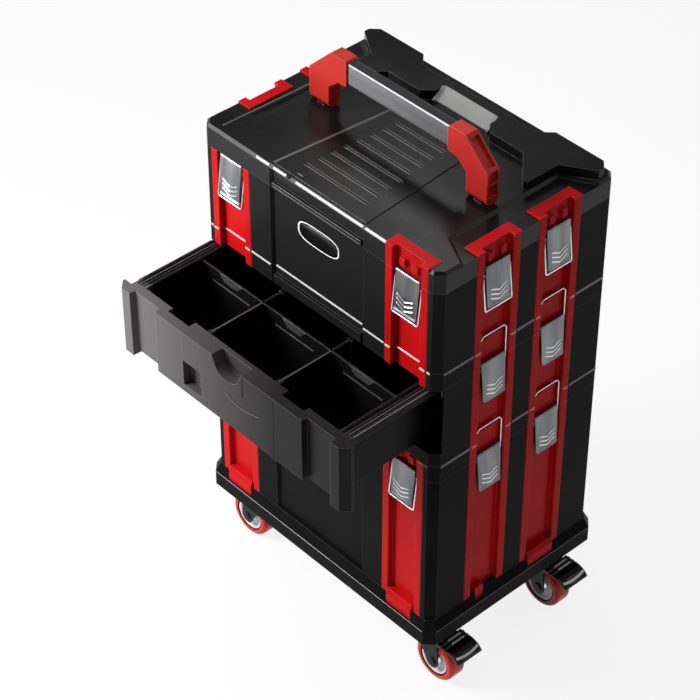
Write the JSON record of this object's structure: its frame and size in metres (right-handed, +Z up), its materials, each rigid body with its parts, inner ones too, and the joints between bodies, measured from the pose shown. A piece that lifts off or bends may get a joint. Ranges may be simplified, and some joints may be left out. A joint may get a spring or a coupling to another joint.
{
  "type": "tool case",
  "caption": "Rolling stack of plastic tool boxes with a drawer, side latches, a folding handle and a base on casters.",
  "frame": {"origin": "on the floor under the middle of the stack, between the four wheels", "axes": "+Z up, the drawer opens towards -Y, +X is to the right of a person facing the drawer"},
  "size_m": [0.5137, 0.5015, 0.89],
  "materials": {
    "black_plastic": "fine moulded grain",
    "red_plastic": "satin",
    "latch_steel": "zinc plated",
    "bail_steel": "bright wire",
    "handle_aluminium": "satin anodised",
    "caster_metal": "black lacquer",
    "red_tyre": "smooth red rubber",
    "black_gloss_plastic": "smooth"
  },
  "bodies": {
    "case": {"dolly_frame": "black_plastic", "dolly_clasps": "red_plastic", "deep_box_shell": "black_plastic", "deep_box_lid": "black_plastic", "drawer_unit_shell": "black_plastic", "drawer_unit_top": "black_plastic", "body_channels": "red_plastic", "top_box_shell": "black_plastic", "latch_brackets": "latch_steel", "caster_plates": "caster_metal", "drawer_runners": "latch_steel", "lid_hinge_pins": "latch_steel"},
    "lid": {"top_lid": "black_plastic", "lid_caps": "red_plastic"},
    "handle": {"handle_posts": "red_plastic", "handle_bar": "handle_aluminium"},
    "drawer": {"drawer_tray": "black_plastic", "drawer_dividers": "black_plastic"},
    "fork_1": {"caster_fork_1": "caster_metal"},
    "wheel_1": {"caster_wheel_1": "red_tyre"},
    "pedal_1": {"brake_pedal_1": "black_gloss_plastic"},
    "fork_2": {"caster_fork_2": "caster_metal"},
    "wheel_2": {"caster_wheel_2": "red_tyre"},
    "pedal_2": {"brake_pedal_2": "black_gloss_plastic"},
    "fork_3": {"caster_fork_3": "caster_metal"},
    "wheel_3": {"caster_wheel_3": "red_tyre"},
    "fork_4": {"caster_fork_4": "caster_metal"},
    "wheel_4": {"caster_wheel_4": "red_tyre"},
    "lever_1": {"latch_lever_1": "latch_steel"},
    "bail_1": {"latch_bail_1": "bail_steel"},
    "lever_2": {"latch_lever_2": "latch_steel"},
    "bail_2": {"latch_bail_2": "bail_steel"},
    "lever_3": {"latch_lever_3": "latch_steel"},
    "bail_3": {"latch_bail_3": "bail_steel"},
    "lever_4": {"latch_lever_4": "latch_steel"},
    "bail_4": {"latch_bail_4": "bail_steel"},
    "lever_5": {"latch_lever_5": "latch_steel"},
    "bail_5": {"latch_bail_5": "bail_steel"},
    "lever_6": {"latch_lever_6": "latch_steel"},
    "bail_6": {"latch_bail_6": "bail_steel"},
    "lever_7": {"latch_lever_7": "latch_steel"},
    "bail_7": {"latch_bail_7": "bail_steel"},
    "lever_8": {"latch_lever_8": "latch_steel"},
    "bail_8": {"latch_bail_8": "bail_steel"},
    "lever_9": {"latch_lever_9": "latch_steel"},
    "bail_9": {"latch_bail_9": "bail_steel"},
    "lever_10": {"latch_lever_10": "latch_steel"},
    "bail_10": {"latch_bail_10": "bail_steel"},
    "lever_11": {"latch_lever_11": "latch_steel"},
    "bail_11": {"latch_bail_11": "bail_steel"},
    "lever_12": {"latch_lever_12": "latch_steel"},
    "bail_12": {"latch_bail_12": "bail_steel"},
    "lever_13": {"latch_lever_13": "latch_steel"},
    "bail_13": {"latch_bail_13": "bail_steel"},
    "lever_14": {"latch_lever_14": "latch_steel"},
    "bail_14": {"latch_bail_14": "bail_steel"},
    "lever_15": {"latch_lever_15": "latch_steel"},
    "bail_15": {"latch_bail_15": "bail_steel"},
    "lever_16": {"latch_lever_16": "latch_steel"},
    "bail_16": {"latch_bail_16": "bail_steel"}
  },
  "joints": [
    {"name": "lid_hinge", "type": "hinge", "parent": "case", "child": "lid", "pos_m": [0, 0.1695, 0.761], "axis": [-1, 0, 0], "range_deg": [0, 95]},
    {"name": "handle_fold", "type": "hinge", "parent": "lid", "child": "handle", "pos_m": [0, -0.009, 0.8065], "axis": [-1, 0, 0], "range_deg": [0, 90]},
    {"name": "drawer_slide", "type": "slide", "parent": "case", "child": "drawer", "axis": [0, -1, 0], "range_m": [-0.163, 0.09]},
    {"name": "caster_swivel_1", "type": "hinge", "parent": "case", "child": "fork_1", "pos_m": [0.18, -0.112, 0.105], "axis": [0, 0, 1], "continuous": true},
    {"name": "wheel_spin_1", "type": "hinge", "parent": "fork_1", "child": "wheel_1", "pos_m": [0.208, -0.112, 0.0375], "axis": [0, 1, 0], "continuous": true},
    {"name": "brake_pedal_1", "type": "hinge", "parent": "fork_1", "child": "pedal_1", "pos_m": [0.216, -0.112, 0.08], "axis": [0, -1, 0], "range_deg": [0, 20]},
    {"name": "caster_swivel_2", "type": "hinge", "parent": "case", "child": "fork_2", "pos_m": [0.18, 0.112, 0.105], "axis": [0, 0, 1], "continuous": true},
    {"name": "wheel_spin_2", "type": "hinge", "parent": "fork_2", "child": "wheel_2", "pos_m": [0.208, 0.112, 0.0375], "axis": [0, 1, 0], "continuous": true},
    {"name": "brake_pedal_2", "type": "hinge", "parent": "fork_2", "child": "pedal_2", "pos_m": [0.216, 0.112, 0.08], "axis": [0, -1, 0], "range_deg": [0, 20]},
    {"name": "caster_swivel_3", "type": "hinge", "parent": "case", "child": "fork_3", "pos_m": [-0.18, -0.112, 0.105], "axis": [0, 0, 1], "continuous": true},
    {"name": "wheel_spin_3", "type": "hinge", "parent": "fork_3", "child": "wheel_3", "pos_m": [-0.208, -0.112, 0.0375], "axis": [0, 1, 0], "continuous": true},
    {"name": "caster_swivel_4", "type": "hinge", "parent": "case", "child": "fork_4", "pos_m": [-0.18, 0.112, 0.105], "axis": [0, 0, 1], "continuous": true},
    {"name": "wheel_spin_4", "type": "hinge", "parent": "fork_4", "child": "wheel_4", "pos_m": [-0.208, 0.112, 0.0375], "axis": [0, 1, 0], "continuous": true},
    {"name": "latch_lever_1", "type": "hinge", "parent": "case", "child": "lever_1", "pos_m": [0.2312, -0.057, 0.76], "axis": [0, -1, 0], "range_deg": [0, 100]},
    {"name": "latch_bail_1", "type": "hinge", "parent": "lever_1", "child": "bail_1", "pos_m": [0.2312, -0.057, 0.75], "axis": [0, -1, 0], "range_deg": [0, 75]},
    {"name": "latch_lever_2", "type": "hinge", "parent": "case", "child": "lever_2", "pos_m": [0.2312, 0.057, 0.76], "axis": [0, -1, 0], "range_deg": [0, 100]},
    {"name": "latch_bail_2", "type": "hinge", "parent": "lever_2", "child": "bail_2", "pos_m": [0.2312, 0.057, 0.75], "axis": [0, -1, 0], "range_deg": [0, 75]},
    {"name": "latch_lever_3", "type": "hinge", "parent": "case", "child": "lever_3", "pos_m": [-0.2312, -0.057, 0.76], "axis": [0, 1, 0], "range_deg": [0, 100]},
    {"name": "latch_bail_3", "type": "hinge", "parent": "lever_3", "child": "bail_3", "pos_m": [-0.2312, -0.057, 0.75], "axis": [0, 1, 0], "range_deg": [0, 75]},
    {"name": "latch_lever_4", "type": "hinge", "parent": "case", "child": "lever_4", "pos_m": [-0.2312, 0.057, 0.76], "axis": [0, 1, 0], "range_deg": [0, 100]},
    {"name": "latch_bail_4", "type": "hinge", "parent": "lever_4", "child": "bail_4", "pos_m": [-0.2312, 0.057, 0.75], "axis": [0, 1, 0], "range_deg": [0, 75]},
    {"name": "latch_lever_5", "type": "hinge", "parent": "case", "child": "lever_5", "pos_m": [0.175, -0.1612, 0.76], "axis": [-1, 0, 0], "range_deg": [0, 100]},
    {"name": "latch_bail_5", "type": "hinge", "parent": "lever_5", "child": "bail_5", "pos_m": [0.175, -0.1612, 0.75], "axis": [-1, 0, 0], "range_deg": [0, 75]},
    {"name": "latch_lever_6", "type": "hinge", "parent": "case", "child": "lever_6", "pos_m": [-0.175, -0.1612, 0.7555], "axis": [-1, 0, 0], "range_deg": [0, 100]},
    {"name": "latch_bail_6", "type": "hinge", "parent": "lever_6", "child": "bail_6", "pos_m": [-0.175, -0.1612, 0.7455], "axis": [-1, 0, 0], "range_deg": [0, 75]},
    {"name": "latch_lever_7", "type": "hinge", "parent": "case", "child": "lever_7", "pos_m": [0.175, -0.1612, 0.43], "axis": [-1, 0, 0], "range_deg": [0, 100]},
    {"name": "latch_bail_7", "type": "hinge", "parent": "lever_7", "child": "bail_7", "pos_m": [0.175, -0.1612, 0.42], "axis": [-1, 0, 0], "range_deg": [0, 40]},
    {"name": "latch_lever_8", "type": "hinge", "parent": "case", "child": "lever_8", "pos_m": [-0.175, -0.1612, 0.43], "axis": [-1, 0, 0], "range_deg": [0, 100]},
    {"name": "latch_bail_8", "type": "hinge", "parent": "lever_8", "child": "bail_8", "pos_m": [-0.175, -0.1612, 0.42], "axis": [-1, 0, 0], "range_deg": [0, 40]},
    {"name": "latch_lever_9", "type": "hinge", "parent": "case", "child": "lever_9", "pos_m": [0.2312, -0.057, 0.595], "axis": [0, -1, 0], "range_deg": [0, 100]},
    {"name": "latch_bail_9", "type": "hinge", "parent": "lever_9", "child": "bail_9", "pos_m": [0.2312, -0.057, 0.585], "axis": [0, -1, 0], "range_deg": [-131, 0]},
    {"name": "latch_lever_10", "type": "hinge", "parent": "case", "child": "lever_10", "pos_m": [0.2312, 0.057, 0.595], "axis": [0, -1, 0], "range_deg": [0, 100]},
    {"name": "latch_bail_10", "type": "hinge", "parent": "lever_10", "child": "bail_10", "pos_m": [0.2312, 0.057, 0.585], "axis": [0, -1, 0], "range_deg": [-131, 0]},
    {"name": "latch_lever_11", "type": "hinge", "parent": "case", "child": "lever_11", "pos_m": [-0.2312, -0.057, 0.595], "axis": [0, 1, 0], "range_deg": [0, 100]},
    {"name": "latch_bail_11", "type": "hinge", "parent": "lever_11", "child": "bail_11", "pos_m": [-0.2312, -0.057, 0.585], "axis": [0, 1, 0], "range_deg": [-131, 0]},
    {"name": "latch_lever_12", "type": "hinge", "parent": "case", "child": "lever_12", "pos_m": [-0.2312, 0.057, 0.595], "axis": [0, 1, 0], "range_deg": [0, 100]},
    {"name": "latch_bail_12", "type": "hinge", "parent": "lever_12", "child": "bail_12", "pos_m": [-0.2312, 0.057, 0.585], "axis": [0, 1, 0], "range_deg": [-131, 0]},
    {"name": "latch_lever_13", "type": "hinge", "parent": "case", "child": "lever_13", "pos_m": [0.2312, -0.057, 0.43], "axis": [0, -1, 0], "range_deg": [0, 100]},
    {"name": "latch_bail_13", "type": "hinge", "parent": "lever_13", "child": "bail_13", "pos_m": [0.2312, -0.057, 0.42], "axis": [0, -1, 0], "range_deg": [-131, 0]},
    {"name": "latch_lever_14", "type": "hinge", "parent": "case", "child": "lever_14", "pos_m": [0.2312, 0.057, 0.43], "axis": [0, -1, 0], "range_deg": [0, 100]},
    {"name": "latch_bail_14", "type": "hinge", "parent": "lever_14", "child": "bail_14", "pos_m": [0.2312, 0.057, 0.42], "axis": [0, -1, 0], "range_deg": [-131, 0]},
    {"name": "latch_lever_15", "type": "hinge", "parent": "case", "child": "lever_15", "pos_m": [-0.2312, -0.057, 0.43], "axis": [0, 1, 0], "range_deg": [0, 100]},
    {"name": "latch_bail_15", "type": "hinge", "parent": "lever_15", "child": "bail_15", "pos_m": [-0.2312, -0.057, 0.42], "axis": [0, 1, 0], "range_deg": [-131, 0]},
    {"name": "latch_lever_16", "type": "hinge", "parent": "case", "child": "lever_16", "pos_m": [-0.2312, 0.057, 0.43], "axis": [0, 1, 0], "range_deg": [0, 100]},
    {"name": "latch_bail_16", "type": "hinge", "parent": "lever_16", "child": "bail_16", "pos_m": [-0.2312, 0.057, 0.42], "axis": [0, 1, 0], "range_deg": [-131, 0]}
  ],
  "couplings": [
    {"joint": "latch_bail_9", "follows": "latch_lever_9", "ratio": -1.3},
    {"joint": "latch_bail_10", "follows": "latch_lever_10", "ratio": -1.3},
    {"joint": "latch_bail_11", "follows": "latch_lever_11", "ratio": -1.3},
    {"joint": "latch_bail_12", "follows": "latch_lever_12", "ratio": -1.3},
    {"joint": "latch_bail_13", "follows": "latch_lever_13", "ratio": -1.3},
    {"joint": "latch_bail_14", "follows": "latch_lever_14", "ratio": -1.3},
    {"joint": "latch_bail_15", "follows": "latch_lever_15", "ratio": -1.3},
    {"joint": "latch_bail_16", "follows": "latch_lever_16", "ratio": -1.3}
  ]
}
